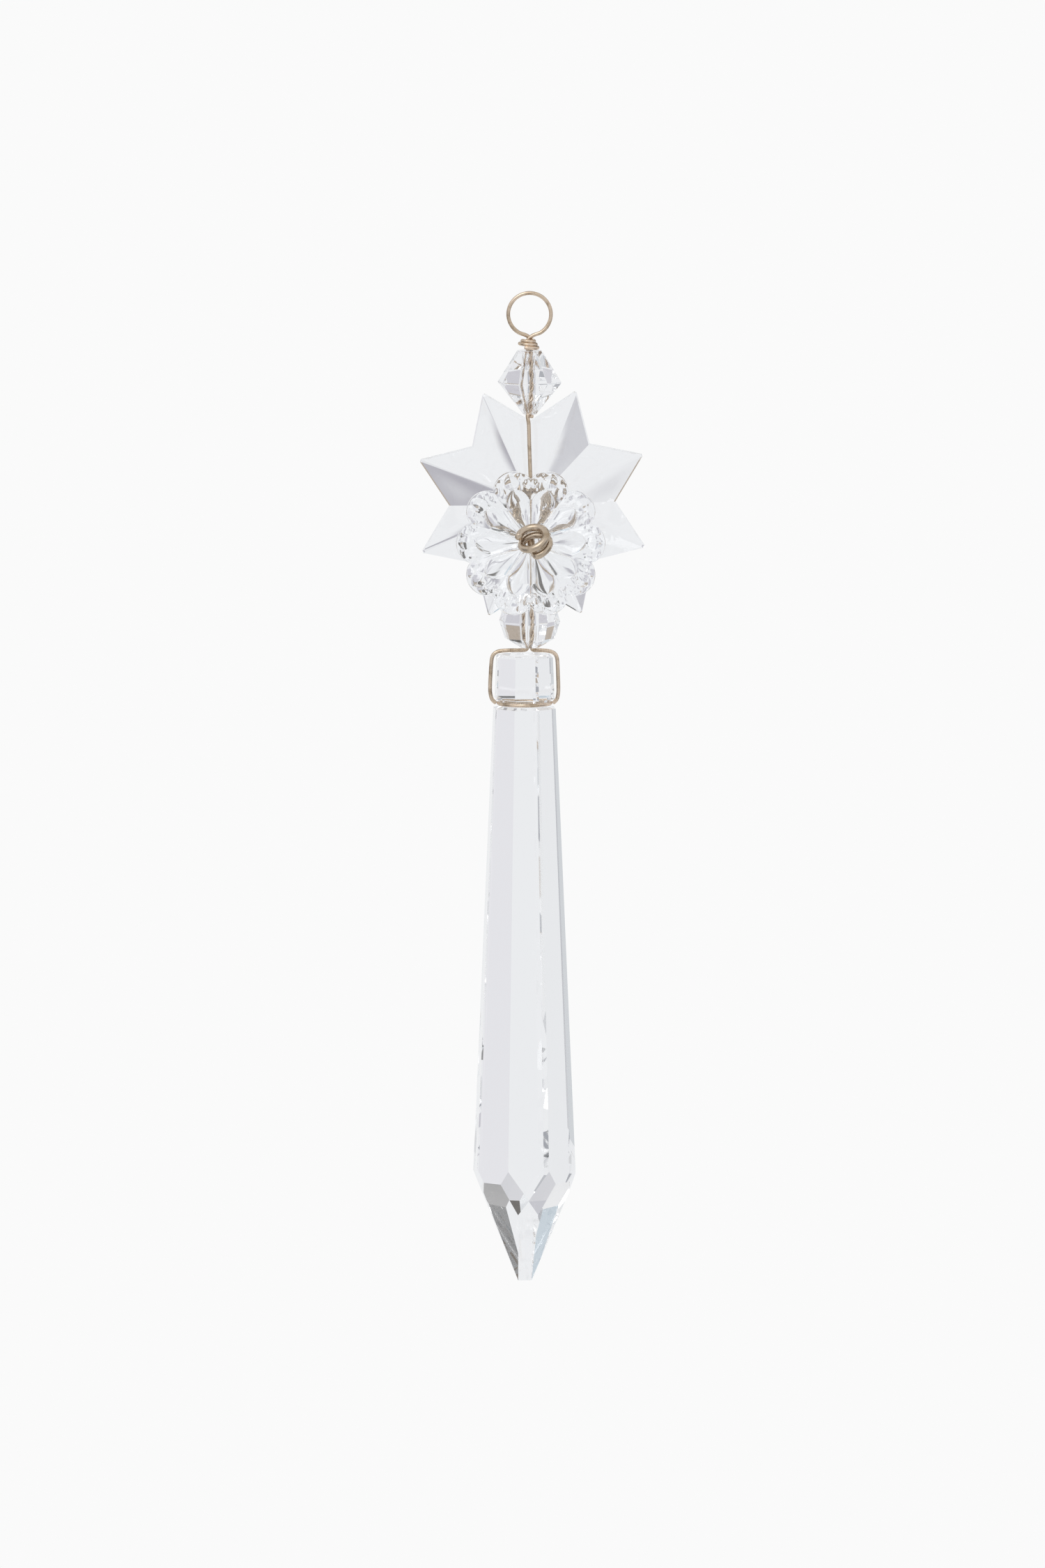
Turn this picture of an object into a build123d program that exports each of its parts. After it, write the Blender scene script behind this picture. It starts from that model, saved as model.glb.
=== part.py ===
from build123d import *
import os
from math import atan2, cos, degrees, radians, sin

# Crystal icicle hanging ornament.  Millimetres, +Z up, -Y towards the viewer, and the origin
# is the centre of the ring that it hangs from.

# Thin brass wire
WIRE_R = 0.325               # 22 gauge
TWIST_R = 0.34               # from the middle of a twisted pair to the middle of one strand
TWIST_PITCH = 4.2
RUN_GAP = 0.05               # radial gap of every running fit

# Hanging ring
RING_R = 3.55                # to the middle of the wire
NECK_TURNS = 2.5
NECK_TOP_R, NECK_LOW_R = 0.80, 1.50
NECK_TOP_Z, NECK_LOW_Z = -4.05, -5.55

# Bicone bead: (height, corner radius) from its lower end to its upper end
BICONE_RINGS = [(-16.70, 1.10), (-11.42, 5.42), (-11.24, 5.42), (-6.00, 2.05)]
BICONE_TURN = 10.5
BEAD_SIDES = 8
BEAD_BORE_R = 0.75

# Star
STAR_X, STAR_Y, STAR_Z = 0.45, 5.30, -32.10
STAR_TIP_R, STAR_NOTCH_R = 20.1, 13.9
STAR_ROLL = 1.4              # degrees anticlockwise, seen from the front
STAR_HALF_HUB, STAR_HALF_EDGE = 3.2, 0.60
STAR_POINTS = 8

# Rosette: a pressed glass flower in two tiers
ROSETTE_X, ROSETTE_Y, ROSETTE_Z = 0.20, -3.50, -37.95
ROSETTE_TILT = 10.0          # degrees that its face looks upwards
PETALS = 10
DISC_R = 9.7                 # the lower tier's disc, with a lobe standing out for each petal
LOBE_R, LOBE_CENTRE_R = 3.55, 8.90
TIER_R = 9.6                 # outer radius of the upper tier
RIM_THICK, TIER_LOW, TIER_HIGH, HUB_THICK, HUB_R = 1.2, 2.0, 2.7, 3.6, 1.9

# Pin of thick wire that holds the rosette and the star to the stem
PIN_R = 0.64                 # 16 gauge
PIN_HOLE_R = PIN_R + RUN_GAP
WRAP_R = WIRE_R + PIN_R + 0.03
COIL_R, COIL_TURNS, COIL_PITCH = 2.25, 1.75, 1.67
COIL_X, COIL_Y, COIL_Z = 0.78, -10.05, -36.85
COIL_AXIS = (-0.29, -0.53, 0.80)
COIL_START = (0, -0.834, -0.552)   # from the coil's axis to its rear end
REAR_COIL_R, REAR_COIL_TURNS, REAR_COIL_PITCH = 1.9, 1.25, 1.5

# Round bead: (height, corner radius) from its lower end to its upper end
ROUND_Z = -51.20
ROUND_RINGS = [(-4.55, 1.50), (-2.93, 4.24), (0.0, 5.15), (2.93, 4.24), (4.55, 1.50)]
ROUND_TURN = 13.9

# Icicle: (height, corner radius) upwards along its taper, its groove and its head
ICICLE_X = -0.85
ICICLE_SIDES = 8
ICICLE_TURN = 4.9
NECK_R = 3.98
BODY_RINGS = [(-168.00, 10.08), (-65.80, 5.46)]
GROOVE_RINGS = [(-65.55, NECK_R), (-64.45, NECK_R)]
HEAD_RINGS = [(-64.20, 5.25), (-57.30, 4.97), (-56.92, 4.50)]

# Facets of the icicle's point: distance from its axis at a height, and slope from upright
CORNER_FACETS = (7.82, -147.60, 13.0)
FRONT_FACETS = (6.80, -150.80, 28.0)
DIAGONAL_FACETS = (5.98, -150.80, 22.3)
SIDE_FACETS = (5.58, -150.80, 21.6)
PLAIN_CORNERS = (2, 3, 4, 5)   # the corners at the back, which are left sharp
TIP_Z = -162.10

# Bail: two legs from the round bead down to the ring in the icicle's groove
NECK_RING_R = NECK_R + RUN_GAP + WIRE_R
NECK_RING_Z = -65.00
BAIL_TOP_Z = -55.00
LEG_REACHES = {-1: 5.85, 1: 5.68}   # how far each leg stands out from the icicle's axis
LEG_BENDS = [0.5, 2.6, 1.3, 3.0, 2.6, 0.5]
LEG_END_GAP = 0.50          # from the middle of the ring's wire to the end of a leg


def save(shape, name):
    """Write one node."""
    shape.label = name
    export_step(shape, f"parts/{name}.step")


def tube(path, radius, frenet=False):
    """A round wire along a path."""
    section = Plane(path @ 0, z_dir=path % 0) * Circle(radius)
    return sweep(section, path=path, is_frenet=frenet)


def bent_wire(points, bends, radius):
    """A round wire along straight runs joined by tangent arcs."""
    return tube(FilletPolyline(*points, radius=bends), radius)


def straight_wire(start, end, radius):
    """A round wire between two points."""
    return tube(Line(start, end), radius)


def faceted(rings, sides, turn):
    """A stack of polygonal frusta about Z with a facet to the front, turned by some degrees."""
    loops = []
    for height, radius in rings:
        angles = [radians(turn - 90 + 360 * (side + 0.5) / sides) for side in range(sides)]
        loops.append([Vector(radius * cos(a), radius * sin(a), height) for a in angles])
    outlines = [loops[0], loops[-1]]
    for low, high in zip(loops, loops[1:]):
        for side in range(sides):
            after = (side + 1) % sides
            outlines.append([low[side], low[after], high[after], high[side]])
    return Solid(Shell([Face(Wire.make_polygon(outline, close=True)) for outline in outlines]))


def drilled(bead, radius, low, high):
    """A bead with a round bore along Z."""
    middle = (low + high) / 2
    return bead - Pos(0, 0, middle) * Cylinder(radius, high - low + 2)


def twisted_pair(low, high):
    """Two strands that start at low on -X and +X and wind upwards round each other."""
    path = Helix(TWIST_PITCH, high - low, TWIST_R)
    strand = Pos(0, 0, low) * tube(path, WIRE_R, frenet=True)
    return strand, Rot(0, 0, 180) * strand


def hanging_ring():
    """The ring at the top, closed by wraps that widen down to the bicone bead."""
    ring = Rot(90, 0, 0) * Torus(RING_R, WIRE_R)
    drop = NECK_TOP_Z - NECK_LOW_Z
    flare = degrees(atan2(NECK_LOW_R - NECK_TOP_R, drop))
    path = Helix(drop / NECK_TURNS, drop, NECK_TOP_R, cone_angle=flare)
    wraps = Pos(0, 0, NECK_TOP_Z) * Rot(180, 0, 0) * tube(path, WIRE_R, frenet=True)
    tail = straight_wire((0, 0, -RING_R), (NECK_TOP_R, 0.10, NECK_TOP_Z - 0.10), WIRE_R)
    return ring + tail + wraps


def stem_wire():
    """The wire from the ring: twisted in the bicone bead, single behind the rosette."""
    low = BICONE_RINGS[0][0] - 0.5
    strand, other_strand = twisted_pair(low, -RING_R)
    lower = straight_wire((0, 0, low + 0.4), (0, 0, ROUND_Z + 5.1), WIRE_R)
    return strand + other_strand + lower


def bicone_bead():
    bead = faceted(BICONE_RINGS, BEAD_SIDES, BICONE_TURN)
    return drilled(bead, BEAD_BORE_R, BICONE_RINGS[0][0], BICONE_RINGS[-1][0])


def star():
    """An eight-pointed star, ridged from its hub to each tip on both faces."""
    rim = []
    for corner in range(2 * STAR_POINTS):
        radius = STAR_NOTCH_R if corner % 2 == 0 else STAR_TIP_R
        angle = radians(180 * corner / STAR_POINTS - STAR_ROLL)
        rim.append((radius * sin(angle), radius * cos(angle)))
    faces = []
    for side in (-1, 1):
        hub = Vector(0, side * STAR_HALF_HUB, 0)
        edge = [Vector(x, side * STAR_HALF_EDGE, z) for x, z in rim]
        for here, after in zip(edge, edge[1:] + edge[:1]):
            faces.append(Face(Wire.make_polygon([hub, here, after], close=True)))
    for (x1, z1), (x2, z2) in zip(rim, rim[1:] + rim[:1]):
        wall = [Vector(x1, -STAR_HALF_EDGE, z1), Vector(x2, -STAR_HALF_EDGE, z2),
                Vector(x2, STAR_HALF_EDGE, z2), Vector(x1, STAR_HALF_EDGE, z1)]
        faces.append(Face(Wire.make_polygon(wall, close=True)))
    hole = Rot(90, 0, 0) * Cylinder(PIN_HOLE_R, 4 * STAR_HALF_HUB)
    return Pos(STAR_X, STAR_Y, STAR_Z) * (Solid(Shell(faces)) - hole)


def rosette_frame():
    """The rosette's own axes: +Z out of its face, +Y up it."""
    return Pos(ROSETTE_X, ROSETTE_Y, ROSETTE_Z) * Rot(90 - ROSETTE_TILT, 0, 0)


def rosette():
    """A flat-backed flower: a scalloped lower tier and a domed upper tier."""
    outline = Circle(DISC_R)
    for petal in range(PETALS):
        outline += Rot(0, 0, 360 * (petal + 0.5) / PETALS) * Pos(0, LOBE_CENTRE_R) * Circle(LOBE_R)
    blank = extrude(outline, amount=HUB_THICK + 1)
    rim = LOBE_CENTRE_R + LOBE_R
    profile = Polyline((0, 0), (rim, 0), (rim, RIM_THICK), (TIER_R, TIER_LOW), (TIER_R, TIER_HIGH),
                       (HUB_R, HUB_THICK), (0, HUB_THICK), close=True)
    dome = revolve(Plane.XZ * make_face(profile), axis=Axis.Z)
    flower = blank & dome
    groove = Pos(0, rim / 2 + HUB_R, TIER_HIGH + 0.75) * Rot(0, 45, 0) * Box(1.1, rim, 1.1)
    for petal in range(PETALS):
        flower -= Rot(0, 0, 360 * petal / PETALS) * groove
    flower -= Cylinder(PIN_HOLE_R, 4 * HUB_THICK)
    return rosette_frame() * flower


def front_coil(shank_end):
    """The coiled front end of the pin, which stops the rosette."""
    height = COIL_TURNS * COIL_PITCH
    path = Helix(COIL_PITCH, height, COIL_R)
    turns = Pos(0, 0, -height / 2) * tube(path, PIN_R, frenet=True)
    seat = Plane(origin=(COIL_X, COIL_Y, COIL_Z), x_dir=COIL_START, z_dir=COIL_AXIS).location
    start = (seat * Pos(COIL_R, 0, -height / 2)).position
    return seat * turns + straight_wire(shank_end, start, PIN_R)


def rosette_pin():
    """Coil, shank through the rosette, a turn round the stem, shank through the star, coil."""
    frame = rosette_frame()
    outer = (frame * Pos(0, 0, HUB_THICK + 1.0)).position
    corner = (frame * Pos(0, 0, -(abs(ROSETTE_Y) - WRAP_R) / cos(radians(ROSETTE_TILT)))).position
    upright = (corner.X, corner.Y, STAR_Z)
    shank = bent_wire([outer, corner, upright], [1.1], PIN_R)
    wrap = Pos(0, 0, STAR_Z) * Torus(WRAP_R, PIN_R)
    rear_end = STAR_Y + STAR_HALF_HUB + 1.3
    rear = straight_wire((STAR_X, WRAP_R, STAR_Z), (STAR_X, rear_end, STAR_Z), PIN_R)
    path = Helix(REAR_COIL_PITCH, REAR_COIL_TURNS * REAR_COIL_PITCH, REAR_COIL_R)
    turns = Rot(-90, 0, 0) * tube(path, PIN_R, frenet=True)
    neck = straight_wire((0, 0, 0), (REAR_COIL_R, 0, 0), PIN_R)
    rear_coil = Pos(STAR_X, rear_end, STAR_Z) * (turns + neck)
    return shank + wrap + rear + front_coil(outer) + rear_coil


def round_bead():
    bead = faceted(ROUND_RINGS, BEAD_SIDES, ROUND_TURN)
    bead = drilled(bead, BEAD_BORE_R, ROUND_RINGS[0][0], ROUND_RINGS[-1][0])
    return Pos(0, 0, ROUND_Z) * bead


def bail_leg(side):
    """One leg, from the round bead's bore out over the icicle's head and down to the ring."""
    reach = LEG_REACHES[side]
    points = [(side * TWIST_R, 0, BAIL_TOP_Z),
              (side * TWIST_R, 0, -56.17),
              (ICICLE_X + side * 3.90, 0, -56.22),
              (ICICLE_X + side * 5.35, 0, -56.80),
              (ICICLE_X + side * 5.57, 0, -58.20),
              (ICICLE_X + side * reach, 0, -61.90),
              (ICICLE_X + side * (reach - 0.06), 0, -64.50),
              (ICICLE_X + side * (NECK_RING_R + LEG_END_GAP), 0, NECK_RING_Z + 0.02)]
    return bent_wire(points, LEG_BENDS, WIRE_R)


def bail_wire():
    """The twisted pair in the round bead and the two legs that it parts into."""
    strand, other_strand = twisted_pair(BAIL_TOP_Z - 0.1, ROUND_Z + 5.1)
    return strand + other_strand + bail_leg(-1) + bail_leg(1)


def neck_ring():
    return Pos(ICICLE_X, 0, NECK_RING_Z) * Torus(NECK_RING_R, WIRE_R)


def ground_off(azimuth, facet):
    """What grinding a facet of the point takes away; azimuth is in degrees from the front."""
    reach, height, slope = facet
    angle = radians(azimuth - 90)
    outward = Vector(cos(angle), sin(angle), 0)
    normal = outward * cos(radians(slope)) - Vector(0, 0, sin(radians(slope)))
    facet_plane = Plane(origin=outward * reach + Vector(0, 0, height), z_dir=normal)
    return facet_plane.location * Pos(0, 0, 30) * Box(60, 60, 60)


def icicle():
    """A tapered octagonal prism: a grooved head above, and a point of two rows of facets."""
    prism = faceted(BODY_RINGS + GROOVE_RINGS + HEAD_RINGS, ICICLE_SIDES, ICICLE_TURN)
    step = 360 / ICICLE_SIDES
    in_line = [FRONT_FACETS, DIAGONAL_FACETS, SIDE_FACETS, DIAGONAL_FACETS]
    for side in range(ICICLE_SIDES):
        azimuth = ICICLE_TURN + step * side
        if side not in PLAIN_CORNERS:
            prism -= ground_off(azimuth + step / 2, CORNER_FACETS)
        prism -= ground_off(azimuth, in_line[side % len(in_line)])
    prism -= Pos(0, 0, TIP_Z - 30) * Box(60, 60, 60)
    return Pos(ICICLE_X, 0, 0) * prism


os.makedirs("parts", exist_ok=True)
save(hanging_ring(), "hanging_ring")
save(stem_wire(), "stem_wire")
save(bicone_bead(), "bicone_bead")
save(star(), "star")
save(rosette(), "rosette")
save(rosette_pin(), "rosette_pin")
save(round_bead(), "round_bead")
save(bail_wire(), "bail_wire")
save(neck_ring(), "neck_ring")
save(icicle(), "icicle")
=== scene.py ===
from math import atan2, cos, hypot, pi, radians, sin, sqrt

import bmesh
import bpy
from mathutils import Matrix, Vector


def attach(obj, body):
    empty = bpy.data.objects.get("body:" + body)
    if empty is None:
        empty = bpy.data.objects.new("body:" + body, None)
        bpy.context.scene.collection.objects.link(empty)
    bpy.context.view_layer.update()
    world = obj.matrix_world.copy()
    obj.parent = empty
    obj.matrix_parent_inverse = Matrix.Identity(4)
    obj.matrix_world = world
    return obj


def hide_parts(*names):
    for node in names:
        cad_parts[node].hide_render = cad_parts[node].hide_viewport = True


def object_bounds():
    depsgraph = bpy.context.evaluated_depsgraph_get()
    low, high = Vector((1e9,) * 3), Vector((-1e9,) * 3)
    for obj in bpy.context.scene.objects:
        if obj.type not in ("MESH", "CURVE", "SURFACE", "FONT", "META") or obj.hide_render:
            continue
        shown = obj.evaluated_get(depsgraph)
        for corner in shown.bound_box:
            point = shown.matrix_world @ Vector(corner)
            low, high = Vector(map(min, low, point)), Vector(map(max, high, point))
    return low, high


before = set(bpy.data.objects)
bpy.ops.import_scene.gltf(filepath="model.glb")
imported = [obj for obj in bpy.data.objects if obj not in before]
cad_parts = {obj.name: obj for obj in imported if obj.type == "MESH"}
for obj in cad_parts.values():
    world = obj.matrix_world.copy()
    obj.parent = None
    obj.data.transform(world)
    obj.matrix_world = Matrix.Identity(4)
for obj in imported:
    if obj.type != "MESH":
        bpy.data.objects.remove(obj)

# Crystal icicle hanging ornament.  The frame is in metres; the sizes below are in millimetres
# and go through MM.  -Y is the front, and the origin is the hanging ring's centre.

MM = 0.001
CAD_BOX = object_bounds()

# Wires
WIRE_R = 0.325
TWIST_R = 0.34               # from the pair's middle to each strand's
TWIST_PITCH = 4.2
PIN_R = 0.64
RING_R = 3.55
END_CHAMFER = 0.22           # of the wire's radius

# Points along the curves
CURVE_STEPS = 8              # between two points that a wire passes through
COIL_STEPS = 44              # in one turn of the thick wire's coils
WRAP_STEPS = 40              # in one turn of the ring's neck wraps

# Heights along the stem
NECK_TOP_Z, NECK_LOW_Z = -4.25, -5.50
PAIR_END_Z = -17.20
STEM_END_Z = -46.20
ROUND_Z = -51.20
BAIL_PART_Z = -55.00
NECK_RING_Z = -65.00
NECK_RING_R = 4.355
ICICLE_X = -0.85
PLAIN_CORNERS = (2, 3, 4, 5)   # the corners at the back of the icicle's point, left sharp

# Joined glass
CRYSTAL_SIDES = 8            # round each bead and the icicle
BEAD_ARRIS = 0.05
ICICLE_ARRIS = 0.07
BEAD_BORE_R = 0.75
PIN_HOLE_R = 0.69
STAR_PLACE = (0.45, 5.30, -32.10)
STAR_ROLL = radians(1.4)
STAR_HALF_HUB = 3.2
ROSETTE_PLACE = (0.20, -3.50, -37.95)
ROSETTE_TILT = radians(10)
PETALS = 10
COIL_PLACE = (0.78, -10.05, -36.85)
COIL_AXIS = (-0.29, -0.53, 0.80)

# Beads on each lobe of the rosette: how far out, how far to each side, radius and height
LOBE_BEADS = ((10.45, 0, 1.20, 0.40), (10.9, 1.95, 0.85, 0.26), (9.60, 2.5, 0.7, 0.24))


# ---------------------------------------------------------------- meshes

def make_piece(name, points, faces, body, slot, material, nodes, smooth=False,
               arris=radians(50)):
    """A mesh piece in millimetres that stands for CAD nodes and rides on their body.

    Edges that turn by more than the arris angle stay sharp even where the faces are smooth.
    """
    mesh = bpy.data.meshes.new(name)
    mesh.from_pydata([Vector(p) * MM for p in points], [], faces)
    mesh.validate()
    piece = bpy.data.objects.new(name, mesh)
    bpy.context.scene.collection.objects.link(piece)
    shape = bmesh.new()
    shape.from_mesh(mesh)
    bmesh.ops.remove_doubles(shape, verts=shape.verts, dist=1e-8)
    bmesh.ops.recalc_face_normals(shape, faces=shape.faces)
    for face in shape.faces:
        face.smooth = smooth
    for edge in shape.edges:
        edge.smooth = edge.calc_face_angle(0) < arris
    shape.to_mesh(mesh)
    shape.free()
    mesh.materials.append(material)
    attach(piece, body)
    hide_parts(*nodes)
    return piece


def soften_edges(piece, width):
    """The narrow polished arris that every cut edge has."""
    bevel = piece.modifiers.new("arris", "BEVEL")
    bevel.width = width * MM
    bevel.segments = 1
    bevel.limit_method = "ANGLE"
    bevel.angle_limit = radians(8)


def smooth_step(start, end, value):
    """From 0 at start to 1 at end, level at both."""
    share = min(1.0, max(0.0, (value - start) / (end - start)))
    return share * share * (3 - 2 * share)


def through(points, steps):
    """A smooth line through points: a Catmull-Rom curve with straight ends."""
    knots = [Vector(p) for p in points]
    knots = [knots[0] * 2 - knots[1]] + knots + [knots[-1] * 2 - knots[-2]]
    line = []
    for a, b, c, d in zip(knots, knots[1:], knots[2:], knots[3:]):
        for step in range(steps):
            t = step / steps
            line.append(0.5 * (2 * b + (c - a) * t + (2 * a - 5 * b + 4 * c - d) * t * t
                               + (3 * b - a - 3 * c + d) * t ** 3))
    line.append(knots[-2])
    return line


def helix(centre, axis, start, radius, pitch, turns, steps=36, grow=0.0):
    """Points of a helix about an axis; start is the direction of its first point."""
    axis = Vector(axis).normalized()
    first = Vector(start)
    first = (first - axis * first.dot(axis)).normalized()
    second = axis.cross(first)
    count = int(steps * turns)
    line = []
    for i in range(count + 1):
        turn = turns * i / count
        angle = 2 * pi * turn
        reach = radius + grow * turn
        line.append(Vector(centre) + axis * (pitch * turn)
                    + (first * cos(angle) + second * sin(angle)) * reach)
    return line


def tube(line, radius, sides=16, closed=False):
    """Points and faces of a round wire along a line; open ends are flat with a small chamfer."""
    line = [Vector(p) for p in line]
    count = len(line)
    tangents = []
    for i in range(count):
        before = line[(i - 1) % count] if closed or i else line[i]
        after = line[(i + 1) % count] if closed or i < count - 1 else line[i]
        tangents.append((after - before).normalized())
    side = tangents[0].orthogonal().normalized()
    rings = []
    for i in range(count):
        side = (side - tangents[i] * side.dot(tangents[i])).normalized()
        rings.append((line[i], side.copy(), tangents[i].cross(side), radius))
    if not closed:
        bevel = END_CHAMFER * radius
        first, last = rings[0], rings[-1]
        rings.insert(0, (first[0] - tangents[0] * bevel, first[1], first[2], radius - bevel))
        rings.append((last[0] + tangents[-1] * bevel, last[1], last[2], radius - bevel))
    points = []
    for middle, across, up, reach in rings:
        for k in range(sides):
            angle = 2 * pi * k / sides
            points.append(middle + (across * cos(angle) + up * sin(angle)) * reach)
    faces = []
    spans = len(rings) if closed else len(rings) - 1
    shift = closing_shift(rings[0], rings[-1], sides) if closed else 0
    for i in range(spans):
        j = (i + 1) % len(rings)
        turn = shift if closed and j == 0 else 0
        for k in range(sides):
            m = (k + 1) % sides
            faces.append((i * sides + k, i * sides + m,
                          j * sides + (m + turn) % sides, j * sides + (k + turn) % sides))
    if not closed:
        faces.append(tuple(range(sides)))
        top = (len(rings) - 1) * sides
        faces.append(tuple(range(top, top + sides)))
    return points, faces


def closing_shift(first, last, sides):
    """How many sides the last ring of a closed tube is turned from the first."""
    angle = atan2(last[1].dot(first[2]), last[1].dot(first[1]))
    return round(angle / (2 * pi) * sides) % sides


def joined(*shapes):
    """Several shapes as one list of points and faces."""
    points, faces = [], []
    for more_points, more_faces in shapes:
        offset = len(points)
        points += list(more_points)
        faces += [tuple(i + offset for i in face) for face in more_faces]
    return points, faces


def ring_stack(rings, sides, turn, bore=0.0, centre=(0, 0, 0), bore_sides=32):
    """Stacked polygonal frusta about Z with one facet to the front, and a round bore if asked."""
    cx, cy, cz = centre
    points, faces = [], []
    for height, radius in rings:
        for side in range(sides):
            angle = radians(turn - 90 + 360 * (side + 0.5) / sides)
            points.append((cx + radius * cos(angle), cy + radius * sin(angle), cz + height))
    for level in range(len(rings) - 1):
        for side in range(sides):
            after = (side + 1) % sides
            low, high = level * sides, (level + 1) * sides
            faces.append((low + side, low + after, high + after, high + side))
    if not bore:
        faces.append(tuple(range(sides)))
        faces.append(tuple(range((len(rings) - 1) * sides, len(rings) * sides)))
        return points, faces
    base = len(points)
    per_side = bore_sides // sides
    for height in (rings[0][0], rings[-1][0]):
        for k in range(bore_sides):
            angle = radians(turn - 90 + 360 * 0.5 / sides) + 2 * pi * k / bore_sides
            points.append((cx + bore * cos(angle), cy + bore * sin(angle), cz + height))
    for k in range(bore_sides):
        m = (k + 1) % bore_sides
        faces.append((base + k, base + m, base + bore_sides + m, base + bore_sides + k))
    for level, start in ((0, base), (len(rings) - 1, base + bore_sides)):
        for side in range(sides):
            after = (side + 1) % sides
            inner = [start + (side * per_side + k) % bore_sides for k in range(per_side + 1)]
            faces.append((level * sides + side, level * sides + after, *reversed(inner)))
    return points, faces


def cut_with_planes(piece, planes):
    """Grinds flat facets on a piece; each plane is a point in millimetres and a normal."""
    shape = bmesh.new()
    shape.from_mesh(piece.data)
    for place, normal in planes:
        geometry = shape.verts[:] + shape.edges[:] + shape.faces[:]
        cut = bmesh.ops.bisect_plane(shape, geom=geometry, dist=1e-7, plane_co=Vector(place) * MM,
                                     plane_no=normal, clear_outer=True)
        rim = [e for e in cut["geom_cut"] if isinstance(e, bmesh.types.BMEdge)]
        if rim:
            bmesh.ops.contextual_create(shape, geom=rim)
    bmesh.ops.recalc_face_normals(shape, faces=shape.faces)
    shape.to_mesh(piece.data)
    shape.free()


# ---------------------------------------------------------------- materials

class Nodes:
    """A material's node tree, with short calls to add and join nodes."""

    def __init__(self, name):
        self.material = bpy.data.materials.new(name)
        self.material.use_nodes = True
        self.tree = self.material.node_tree
        self.shader = self.tree.nodes["Principled BSDF"]
        self.coords = self.add("ShaderNodeTexCoord").outputs["Object"]

    def add(self, kind, **inputs):
        node = self.tree.nodes.new(kind)
        for socket, value in inputs.items():
            self.set(node, socket.replace("_", " "), value)
        return node

    def set(self, node, socket, value):
        if isinstance(value, bpy.types.NodeSocket):
            self.tree.links.new(value, node.inputs[socket])
        else:
            node.inputs[socket].default_value = value

    def noise(self, scale, detail=3.0, rough=0.5, vector=None):
        node = self.add("ShaderNodeTexNoise", Scale=scale, Detail=detail, Roughness=rough)
        self.set(node, "Vector", vector or self.coords)
        return node.outputs["Fac"]

    def stretched(self, scale):
        node = self.add("ShaderNodeMapping", Vector=self.coords, Scale=scale)
        return node.outputs["Vector"]

    def between(self, value, low, high, start=0.35, end=0.65):
        node = self.add("ShaderNodeMapRange")
        for socket, number in (("Value", value), ("From Min", start), ("From Max", end),
                               ("To Min", low), ("To Max", high)):
            self.set(node, socket, number)
        return node.outputs["Result"]

    def blend(self, factor, first, second):
        node = self.tree.nodes.new("ShaderNodeMix")
        node.data_type = "RGBA"
        self.set(node, "Factor", factor)
        node.inputs[6].default_value = (*first, 1)
        if isinstance(second, bpy.types.NodeSocket):
            self.tree.links.new(second, node.inputs[7])
        else:
            node.inputs[7].default_value = (*second, 1)
        return node.outputs[2]

    def bump(self, height, strength, distance):
        node = self.add("ShaderNodeBump", Height=height, Strength=strength, Distance=distance * MM)
        return node.outputs["Normal"]


def glass(name, ior, colour, haze, wave_scale, wave_height):
    """Clear glass: its polish varies a little, and its faces have faint waves."""
    nodes = Nodes(name)
    shader = nodes.shader
    shader.inputs["Base Color"].default_value = (*colour, 1)
    shader.inputs["Transmission Weight"].default_value = 1.0
    shader.inputs["IOR"].default_value = ior
    polish = nodes.noise(220.0, 4.0, 0.6)
    nodes.set(shader, "Roughness", nodes.between(polish, 0.0, haze))
    waves = nodes.noise(wave_scale, 2.0, 0.5)
    nodes.set(shader, "Normal", nodes.bump(waves, 0.5, wave_height))
    return nodes.material


def wire(name, bright, dull, patina, rough):
    """Drawn wire: fine lines of the die, and patina in patches."""
    nodes = Nodes(name)
    shader = nodes.shader
    shader.inputs["Metallic"].default_value = 1.0
    patches = nodes.between(nodes.noise(420.0, 4.0, 0.6), 0.0, 1.0, 0.36, 0.50)
    cloud = nodes.between(nodes.noise(160.0, 3.0, 0.5), 0.0, 1.0, 0.40, 0.64)
    base = nodes.blend(cloud, bright, dull)
    nodes.set(shader, "Base Color", nodes.blend(patches, patina, base))
    lines = nodes.noise(1.0, 3.0, 0.6, nodes.stretched((5200.0, 5200.0, 900.0)))
    nodes.set(shader, "Roughness", nodes.between(lines, rough * 0.8, rough * 1.3))
    nodes.set(shader, "Normal", nodes.bump(lines, 0.25, 0.008))
    return nodes.material


CRYSTAL = glass("cut_crystal", 1.56, (0.985, 0.990, 1.0), 0.02, 90.0, 0.004)
PRESSED = glass("pressed_glass", 1.52, (0.985, 0.990, 0.995), 0.03, 420.0, 0.03)
THIN_WIRE = wire("champagne_brass", (0.76, 0.62, 0.49), (0.63, 0.51, 0.38),
                 (0.43, 0.33, 0.23), 0.27)
THICK_WIRE = wire("nickel_brass", (0.57, 0.47, 0.37), (0.49, 0.40, 0.30),
                  (0.37, 0.28, 0.19), 0.25)


# ---------------------------------------------------------------- wires

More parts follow.
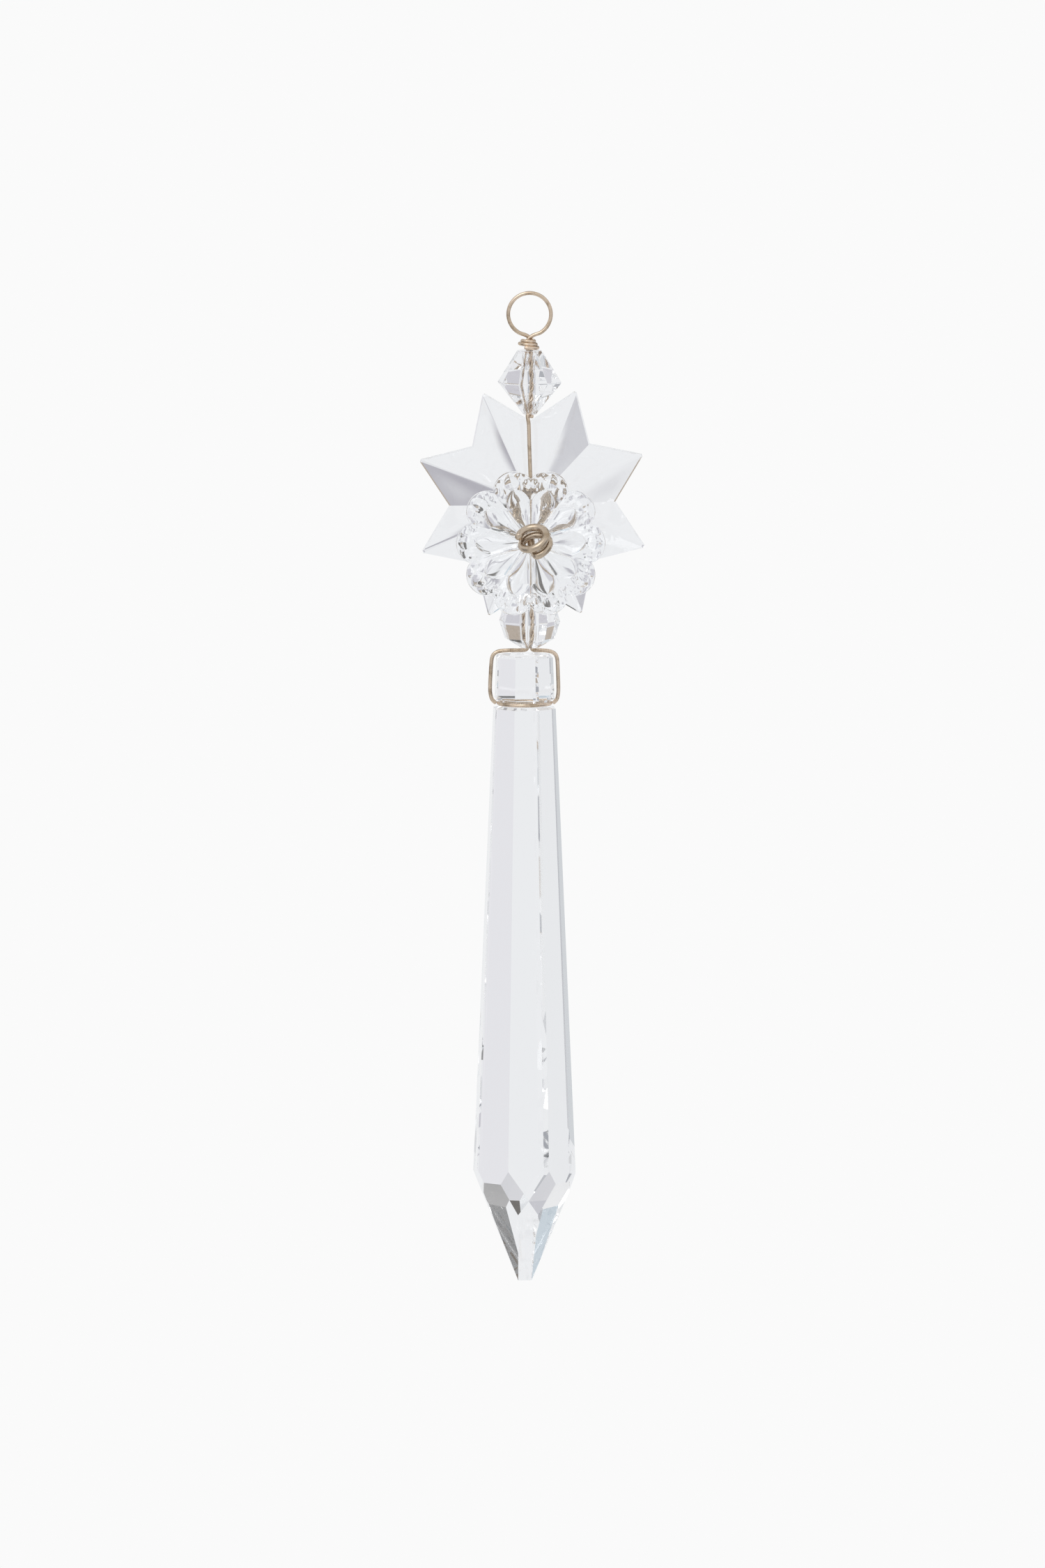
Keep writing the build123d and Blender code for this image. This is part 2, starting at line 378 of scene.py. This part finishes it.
def hanging_ring():
    """One wire: up from the stem, round the ring, across itself, and wrapped round its neck."""
    start = [(-0.34, 0.00, -5.30), (-0.36, -0.02, -4.70), (-0.16, -0.06, -4.10)]
    steps, low, sweep, offset = 16, -80, 340, 0.24
    circle = []
    for step in range(steps + 1):
        angle = radians(low + sweep * step / steps)
        lift = offset * step / steps - offset / 2
        circle.append((RING_R * cos(angle), lift, RING_R * sin(angle)))
    neck = through(start + circle + [(0.10, 0.30, -3.98)], CURVE_STEPS)
    turns, wrap_r, growth = 2.5, 0.80, 0.36
    pitch = (NECK_TOP_Z - NECK_LOW_Z) / turns
    wraps = helix((-0.10, 0, NECK_TOP_Z), (-0.15, 0, -1), (0.3, 1, 0), wrap_r, pitch, turns,
                  WRAP_STEPS, growth)
    line = neck[:-4] + through([neck[-4], wraps[0], wraps[3]], 6)[:-1] + wraps[4:]
    make_piece("ring_wire", *tube(line, WIRE_R), "hanger", "thin_wire", THIN_WIRE,
               ["hanging_ring"], smooth=True)


def pair_of_strands(low, high, start=(1, 0, 0)):
    """Two strands twisted round each other between two heights."""
    turns = (high - low) / TWIST_PITCH
    first = helix((0, 0, low), (0, 0, 1), start, TWIST_R, TWIST_PITCH, turns)
    other = [Vector((-p.x, -p.y, p.z)) for p in first]
    return first, other


def stem_wire():
    """The pair in the bicone bead, and the single wire below it."""
    first, other = pair_of_strands(PAIR_END_Z, NECK_TOP_Z - 0.25, (-1, 0.3, 0))
    lower = [(-0.12, 0.03, -18.8), (-0.04, 0, -22.0), (0.10, 0, -26.0), (0.26, 0, -30.0),
             (0.32, 0, -34.0), (0.14, 0, -40.0), (0.0, 0, STEM_END_Z)]
    carried_on = through([first[3], first[0], (-0.20, 0.06, -17.9)] + lower,
                         CURVE_STEPS)[CURVE_STEPS:]
    shape = joined(tube(carried_on[::-1] + first[1:], WIRE_R), tube(other, WIRE_R))
    make_piece("stem_strands", *shape, "hanger", "thin_wire", THIN_WIRE, ["stem_wire"],
               smooth=True)


def bail_leg(side):
    """One leg of the bail, from under the round bead to the loop in the groove."""
    away = [(0.35, -55.35), (0.38, -55.80), (0.62, -56.10), (1.30, -56.18), (2.60, -56.19),
            (3.80, -56.27), (4.66, -56.50), (5.20, -56.95), (5.45, -57.66), (5.56, -58.80),
            (5.66, -60.40), (5.73, -62.00), (5.70, -63.30), (5.45, -64.30), (4.98, -64.85),
            (4.80, -64.95)]
    lean = 0.0 if side < 0 else -0.08
    line = []
    for reach, height in away:
        # The legs go over from the stem's axis to the icicle's as they spread
        share = min(1.0, max(0.0, (reach - 0.36) / 3.0))
        out = reach + lean * smooth_step(-57.0, -61.5, height) * smooth_step(-64.9, -63.0, height)
        line.append((side * out + ICICLE_X * share, 0, height))
    return line


def bail_wire():
    """The pair in the round bead parts into two legs."""
    first, other = pair_of_strands(BAIL_PART_Z, STEM_END_Z + 0.3)
    shapes = []
    for side, strand in ((1, first), (-1, other)):
        leg = through([strand[4], strand[0]] + bail_leg(side), CURVE_STEPS)[CURVE_STEPS:]
        shapes.append(tube(leg[::-1] + strand[1:], WIRE_R))
    make_piece("bail_strands", *joined(*shapes), "hanger", "thin_wire", THIN_WIRE,
               ["bail_wire"], smooth=True)


def neck_loop():
    """The loop that lies in the icicle's groove."""
    steps = 96
    line = []
    for step in range(steps):
        angle = 2 * pi * step / steps
        line.append((ICICLE_X + NECK_RING_R * cos(angle), NECK_RING_R * sin(angle), NECK_RING_Z))
    make_piece("neck_loop_wire", *tube(line, WIRE_R, closed=True), "neck_loop", "thin_wire",
               THIN_WIRE, ["neck_ring"], smooth=True)


def rosette_normal():
    """The way the rosette faces."""
    return Vector((0, -cos(ROSETTE_TILT), sin(ROSETTE_TILT)))


def pin():
    """Thick wire: front coil, shank, a turn round the stem, shank through the star, rear coil."""
    out = rosette_normal()
    hole = Vector(ROSETTE_PLACE)
    coil_r, pitch, turns = 2.25, 1.67, 1.75
    axis = Vector(COIL_AXIS).normalized()
    low = Vector(COIL_PLACE) - axis * (pitch * turns / 2)
    coil = helix(low, axis, (0, -0.834, -0.552), coil_r, pitch, turns, COIL_STEPS)
    bend = [hole - out * 2.55, hole - out * 1.2, hole + out * 1.0, hole + out * 3.4,
            hole + out * 4.3, Vector((0.45, -9.0, -38.4))]
    star_z = STAR_PLACE[2]
    rise = [(0.20, -1.02, star_z + 0.2), (0.20, -1.0, star_z - 2.0), (0.20, -1.0, star_z - 4.6)]
    front = through(rise + bend + [coil[0], coil[3]], CURVE_STEPS)[:-CURVE_STEPS] + coil
    wrap_angle, wrap_drop = 540, 1.35
    around = [(sin(radians(a)), -cos(radians(a)), star_z + 0.2 - wrap_drop * a / wrap_angle)
              for a in range(0, wrap_angle + 1, 12)]
    back = STAR_PLACE[1] + STAR_HALF_HUB
    rear_centre = Vector((STAR_PLACE[0], back + 1.0, star_z))
    rear_r, rear_pitch, rear_turns = 1.9, 1.5, 1.3
    rear = helix(rear_centre, (0.15, 1, 0.1), (1, 0, 0.2), rear_r, rear_pitch, rear_turns,
                 COIL_STEPS)
    hole_x = STAR_PLACE[0]
    straight = [(hole_x, y, star_z) for y in (1.7, 2.1, STAR_PLACE[1], back, back + 0.25)]
    into_coil = [rear[0] * 0.55 + rear_centre * 0.45, rear[0], rear[3]]
    run = through([(0.30, 1.0, star_z - 0.9)] + straight + into_coil,
                  CURVE_STEPS)[:-CURVE_STEPS] + rear
    shapes = [tube(line, PIN_R, 20) for line in (front, around, run)]
    make_piece("coiled_pin", *joined(*shapes), "hanger", "thick_wire", THICK_WIRE,
               ["rosette_pin"], smooth=True)


# ---------------------------------------------------------------- glass

def bicone():
    """Two eight-sided pyramids base to base, with a narrow girdle."""
    turn = 10.5
    rings = [(-16.70, 1.10), (-11.42, 5.40), (-11.24, 5.40), (-6.00, 2.05)]
    shape = ring_stack(rings, CRYSTAL_SIDES, turn, BEAD_BORE_R)
    piece = make_piece("bicone_crystal", *shape, "bicone", "crystal", CRYSTAL, ["bicone_bead"])
    soften_edges(piece, BEAD_ARRIS)


def round_bead():
    """A ball cut in four rows of eight facets."""
    turn = 13.9
    rings = [(-4.55, 1.50), (-2.93, 4.24), (0.0, 5.15), (2.93, 4.24), (4.55, 1.50)]
    shape = ring_stack(rings, CRYSTAL_SIDES, turn, BEAD_BORE_R, (0, 0, ROUND_Z))
    piece = make_piece("round_crystal", *shape, "bead", "crystal", CRYSTAL, ["round_bead"])
    soften_edges(piece, BEAD_ARRIS)


def icicle():
    """An octagonal prism: grooved head, long taper and a point ground in two rows of facets."""
    rings = [(-168.0, 10.08), (-65.80, 5.46), (-65.55, 3.98), (-64.45, 3.98), (-64.20, 5.25),
             (-57.25, 4.97), (-56.95, 4.62)]
    turn = 4.9
    shape = ring_stack(rings, CRYSTAL_SIDES, turn, centre=(ICICLE_X, 0, 0))
    piece = make_piece("icicle_crystal", *shape, "icicle_body", "crystal", CRYSTAL, ["icicle"])
    # Each facet's distance from the axis at a height, and its slope from upright
    corner = (7.82, -147.6, 13.0)
    front, diagonal, flank = (6.80, -150.8, 28.0), (5.98, -150.8, 22.3), (5.58, -150.8, 21.6)
    in_line = [front, diagonal, flank, diagonal]
    step = 360 / CRYSTAL_SIDES
    planes = []
    for side in range(CRYSTAL_SIDES):
        azimuth = turn + step * side
        if side not in PLAIN_CORNERS:
            planes.append(point_plane(azimuth + step / 2, *corner))
        planes.append(point_plane(azimuth, *in_line[side % len(in_line)]))
    planes.append((Vector((ICICLE_X, 0, -162.08)), Vector((0, 0, -1))))
    cut_with_planes(piece, planes)
    soften_edges(piece, ICICLE_ARRIS)


def point_plane(azimuth, radius, height, slope):
    """A facet of the point: azimuth from the front, radius at a height, and slope."""
    angle = radians(azimuth - 90)
    outward = Vector((cos(angle), sin(angle), 0))
    normal = outward * cos(radians(slope)) - Vector((0, 0, 1)) * sin(radians(slope))
    place = Vector((ICICLE_X, 0, height)) + outward * radius
    return place, normal


def star():
    """Eight ridged arms on both faces, each facet a little cushioned, and a bevelled rim."""
    tip_r, notch_r, blunt, arms = 19.98, 13.85, 0.22, 8
    step = 360 / arms
    rim = []
    for arm in range(arms):
        middle = radians(step / 2 + step * arm) - STAR_ROLL
        notch = radians(step * arm) - STAR_ROLL
        rim.append((notch_r * sin(notch), notch_r * cos(notch)))
        for side in (-1, 1):
            rim.append((tip_r * sin(middle) + side * blunt * cos(middle),
                        tip_r * cos(middle) - side * blunt * sin(middle)))
    rim_height, edge_height, rim_share = 0.66, 0.42, 0.982
    rows, columns, cushion = 14, 8, 0.075
    loop = []
    for k, (here, after) in enumerate(zip(rim, rim[1:] + rim[:1])):
        across_tip = k % 3 == 1
        steps = 1 if across_tip else columns
        for column in range(steps):
            share = column / steps
            corner = [a + (b - a) * share for a, b in zip(here, after)]
            loop.append((corner, cushion * 4 * share * (1 - share)))
    count = len(loop)

    # Layers from the hole out to the rim on each face, then the rim's bevel
    layers = {}
    for side in (-1, 1):
        for row in range(rows + 1):
            layer = []
            for (x, z), bulge in loop:
                inner = PIN_HOLE_R / hypot(x, z)
                scale = inner + (rim_share - inner) * row / rows
                height = STAR_HALF_HUB - (STAR_HALF_HUB - rim_height) * scale / rim_share
                height += bulge * scale * smooth_step(0, 0.5, 1 - row / rows)
                layer.append((x * scale, side * height, z * scale))
            layers[side, row] = layer
        layers[side, rows + 1] = [(x, side * edge_height, z) for (x, z), bulge in loop]
    order = [(-1, row) for row in range(rows + 2)] + [(1, row) for row in range(rows + 1, -1, -1)]
    place = Vector(STAR_PLACE)
    points = [Vector(p) + place for key in order for p in layers[key]]
    faces = []
    for here in range(len(order)):
        after = (here + 1) % len(order)
        for k in range(count):
            m = (k + 1) % count
            faces.append((here * count + k, here * count + m, after * count + m, after * count + k))
    make_piece("star_crystal", points, faces, "star_body", "crystal", CRYSTAL, ["star"],
               smooth=True, arris=radians(7))


def dome(away):
    """Height of a rounded dome, from 1 in its middle to 0 at its edge, where away is 1."""
    return max(0.0, 1 - away ** 2) ** 0.6


def lobe_edge(off):
    """The rosette's outline: its radius at an angle from the nearest petal's middle."""
    centre, lobe = 8.90, 3.55
    return centre * cos(off) + sqrt(lobe ** 2 - (centre * sin(off)) ** 2)


def petal_height(radius, off):
    """Height of the pressed face: pillowed petals over a tier of fluted, beaded lobes."""
    across, along = radius * sin(off), radius * cos(off)
    lobe_along, lobe_r, lobe_base, lobe_rise = 9.0, 3.5, 0.95, 0.80
    lower = lobe_base + lobe_rise * dome(hypot(along - lobe_along, across) / lobe_r)
    for bead_along, bead_across, bead_r, rise in LOBE_BEADS:
        lower += rise * dome(hypot(along - bead_along, abs(across) - bead_across) / bead_r)
    flutes, flute_rise = 50, 0.06
    outer = smooth_step(8.6, 9.4, radius) * (1 - smooth_step(11.7, 12.3, radius))
    lower += flute_rise * outer * cos(flutes * off)

    widest, end, half_width = 6.9, 9.15, 0.285     # half_width is for each millimetre out
    if radius < widest:
        width = half_width * radius
    else:
        past = (radius - widest) / (end - widest)
        width = half_width * widest * sqrt(max(1e-6, 1 - past ** 2))
    share = min(1.0, abs(across) / max(width, 1e-4)) if radius < end else 1.0
    petal_base, petal_rise, petal_fall = 1.30, 2.25, 0.11
    upper = petal_base + (petal_rise - petal_fall * radius) * dome(share)

    hub_r, hub_top = 2.4, 3.45
    if radius < hub_r:
        hub = hub_top - 0.9 * smooth_step(1.2, hub_r, radius)
        share = smooth_step(1.5, hub_r, radius)
        upper = max(upper, hub * (1 - share) + upper * share)
    return max(lower, upper)


def rosette():
    """Pressed glass flower, closed round its edge and its hole."""
    across_steps, face_steps, edge_steps, back_steps = 640, 104, 7, 8
    face_inset, back_inset = 0.12, 0.15
    rows = [("face", row / face_steps) for row in range(face_steps + 1)]
    rows += [("edge", row / edge_steps) for row in range(1, edge_steps)]
    rows += [("back", 1 - row / back_steps) for row in range(back_steps + 1)]
    out = rosette_normal()
    right = Vector((1, 0, 0))
    up = out.cross(right)
    pitch = 2 * pi / PETALS
    points = []
    for kind, share in rows:
        for k in range(across_steps):
            angle = 2 * pi * k / across_steps
            off = angle % pitch - pitch / 2
            edge = lobe_edge(off)
            if kind == "face":
                radius = PIN_HOLE_R + (edge - face_inset - PIN_HOLE_R) * share
                height = petal_height(radius, off)
            elif kind == "edge":
                top = petal_height(edge - face_inset, off)
                radius = edge - face_inset + face_inset * sin(pi * share)
                height = top - (top - 0.05) * share
            else:
                radius = PIN_HOLE_R + (edge - back_inset - PIN_HOLE_R) * share
                height = 0.0
            points.append(Vector(ROSETTE_PLACE) + right * (radius * sin(angle))
                          + up * (radius * cos(angle)) + out * height)
    faces = []
    count = len(rows)
    for row in range(count):
        after = (row + 1) % count
        for k in range(across_steps):
            m = (k + 1) % across_steps
            faces.append((row * across_steps + k, row * across_steps + m,
                          after * across_steps + m, after * across_steps + k))
    make_piece("rosette_glass", points, faces, "rosette_body", "pressed_glass", PRESSED,
               ["rosette"], smooth=True)


# ---------------------------------------------------------------- studio

BACKDROP_LIGHT = 0.957       # what the camera sees directly
STUDIO_LIGHT = (0.855, 0.862, 0.872)
BOUNCES = 40

# Soft boards that hang round the ornament.  "both" hangs one on the left as well.  Then come the
# azimuth from straight behind in degrees, positive to the right, as lowest, highest and softness
# of the edges; the sine of the elevation in the same way; and the colour.
BOARDS = (
    ("both", (75, 120, 12), (-0.85, 0.16, 0.10), (0.36, 0.37, 0.40)),
    ("both", (155, 190, 12), (-0.62, 0.06, 0.12), (0.64, 0.66, 0.68)),
    ("both", (21, 46, 5), (-0.12, 0.10, 0.04), (0.58, 0.57, 0.61)),
    ("one", (21, 46, 5), (-0.30, -0.12, 0.04), (0.815, 0.81, 0.835)),
    ("one", (8.5, 13.0, 3.5), (-0.20, 0.10, 0.04), (0.42, 0.41, 0.45)),
    ("one", (-18, -13.5, 4), (-0.13, 0.10, 0.04), (0.42, 0.41, 0.45)),
    ("one", (-17, -12.5, 3), (-0.21, -0.13, 0.04), (0.60, 0.60, 0.63)),
    ("both", (23, 46, 5), (0.15, 0.36, 0.05), (0.44, 0.37, 0.30)),
    ("one", (22, 46, 4), (0.105, 0.16, 0.03), (0.20, 0.19, 0.18)),
    ("one", (24, 48, 4), (0.42, 0.70, 0.05), (0.07, 0.068, 0.065)),
    ("one", (11, 20, 3), (0.14, 0.44, 0.06), (0.09, 0.08, 0.07)),
    ("one", (-20, -13, 3), (0.24, 0.38, 0.05), (0.52, 0.52, 0.56)),
    ("one", (-52, -24, 6), (0.42, 0.72, 0.05), (0.50, 0.58, 0.64)),
)


def calculated(tree, operation, first, second=None):
    """A math node's output; each value is a socket or a number."""
    node = tree.nodes.new("ShaderNodeMath")
    node.operation = operation
    for socket, value in zip(node.inputs, (first, second)):
        if isinstance(value, bpy.types.NodeSocket):
            tree.links.new(value, socket)
        elif value is not None:
            socket.default_value = value
    return node.outputs[0]


def ramp(tree, value, start, end, low, high):
    """A smooth step from low to high as value goes from start to end."""
    node = tree.nodes.new("ShaderNodeMapRange")
    node.interpolation_type = "SMOOTHSTEP"
    tree.links.new(value, node.inputs["Value"])
    for socket, number in (("From Min", start), ("From Max", end),
                           ("To Min", low), ("To Max", high)):
        node.inputs[socket].default_value = number
    return node.outputs[0]


def window(tree, value, low, high, soft):
    """1 between low and high and 0 outside, with soft edges."""
    rise = ramp(tree, value, low - soft / 2, low + soft / 2, 0.0, 1.0)
    fall = ramp(tree, value, high - soft / 2, high + soft / 2, 1.0, 0.0)
    return calculated(tree, "MULTIPLY", rise, fall)


def mixed(tree, factor, first, second):
    """A colour between two; each is a socket or three numbers."""
    node = tree.nodes.new("ShaderNodeMix")
    node.data_type = "RGBA"
    tree.links.new(factor, node.inputs[0])
    for socket, value in ((node.inputs[6], first), (node.inputs[7], second)):
        if isinstance(value, bpy.types.NodeSocket):
            tree.links.new(value, socket)
        else:
            socket.default_value = (*value, 1)
    return node.outputs[2]


def world_light():
    """A white studio with soft tinted boards, and a flat backdrop for the camera."""
    world = bpy.data.worlds.new("studio")
    world.use_nodes = True
    bpy.context.scene.world = world
    tree = world.node_tree
    background = tree.nodes["Background"]
    coords = tree.nodes.new("ShaderNodeTexCoord")
    split = tree.nodes.new("ShaderNodeSeparateXYZ")
    tree.links.new(coords.outputs["Generated"], split.inputs[0])
    angle = calculated(tree, "ARCTAN2", split.outputs["X"], split.outputs["Y"])
    azimuth = calculated(tree, "DEGREES", angle)
    either = calculated(tree, "ABSOLUTE", azimuth)
    colour = STUDIO_LIGHT
    for sides, across, up, tint in BOARDS:
        upright = window(tree, split.outputs["Z"], *up)
        sideways = window(tree, either if sides == "both" else azimuth, *across)
        level = calculated(tree, "MULTIPLY", upright, sideways)
        colour = mixed(tree, level, colour, tint)
    path = tree.nodes.new("ShaderNodeLightPath")
    backdrop = (BACKDROP_LIGHT,) * 3
    seen = mixed(tree, path.outputs["Is Camera Ray"], colour, backdrop)
    tree.links.new(seen, background.inputs["Color"])
    background.inputs["Strength"].default_value = 1.0


def area_light(name, place, aim, size, power):
    """A soft box at a place, turned to its aim."""
    light = bpy.data.lights.new(name, "AREA")
    light.shape = "RECTANGLE"
    light.size, light.size_y = size
    light.energy = power
    lamp = bpy.data.objects.new(name, light)
    lamp.location = place
    lamp.rotation_euler = (Vector(aim) - Vector(place)).to_track_quat("-Z", "Y").to_euler()
    bpy.context.scene.collection.objects.link(lamp)


def floor():
    """A pale round floor far below the ornament, which fades out into the backdrop."""
    steps, radius, gap = 96, 0.45, 0.16
    mesh = bpy.data.meshes.new("floor")
    points = [(0, 0, 0)] + [(cos(2 * pi * k / steps), sin(2 * pi * k / steps), 0)
                            for k in range(steps)]
    faces = [(0, 1 + k, 1 + (k + 1) % steps) for k in range(steps)]
    mesh.from_pydata(points, [], faces)
    ground = bpy.data.objects.new("floor", mesh)
    ground.location = (0, 0, CAD_BOX[0][2] - gap)
    ground.scale = (radius, radius, radius)
    bpy.context.scene.collection.objects.link(ground)
    nodes = Nodes("pale_floor")
    nodes.shader.inputs["Base Color"].default_value = (0.9, 0.9, 0.9, 1)
    nodes.shader.inputs["Roughness"].default_value = 0.7
    distance = nodes.add("ShaderNodeVectorMath", Vector=nodes.coords)
    distance.operation = "LENGTH"
    fade = nodes.between(distance.outputs["Value"], 1.0, 0.0, 0.35, 0.95)
    nodes.set(nodes.shader, "Alpha", fade)
    mesh.materials.append(nodes.material)


def camera():
    """Slightly above the ornament and in front of it."""
    low, high = CAD_BOX
    middle = Vector(((low[0] + high[0]) / 2, 0, (low[2] + high[2]) / 2))
    aim = middle + Vector((-1.63, 0, 0.50)) * MM
    distance, tilt, frame_height = 3.0, radians(6.5), 261.5 * MM
    data = bpy.data.cameras.new("camera")
    data.sensor_width = 36.0
    data.lens = data.sensor_width * distance / frame_height
    data.clip_start = 0.1
    eye = bpy.data.objects.new("camera", data)
    eye.location = aim + Vector((0, -cos(tilt), sin(tilt))) * distance
    eye.rotation_euler = (aim - eye.location).to_track_quat("-Z", "Y").to_euler()
    bpy.context.scene.collection.objects.link(eye)
    bpy.context.scene.camera = eye


def studio():
    """The light, the floor and the camera, with bounces enough for total reflection in glass."""
    scene = bpy.context.scene
    scene.view_settings.view_transform = "Standard"
    scene.cycles.max_bounces = BOUNCES
    scene.cycles.transmission_bounces = BOUNCES
    scene.cycles.glossy_bounces = BOUNCES
    world_light()
    area_light("key", (-0.35, -0.8, 0.8), (0, 0, -0.06), (0.7, 0.8), 3.2)
    floor()
    camera()


hanging_ring()
stem_wire()
bail_wire()
neck_loop()
pin()
bicone()
star()
rosette()
round_bead()
icicle()
studio()
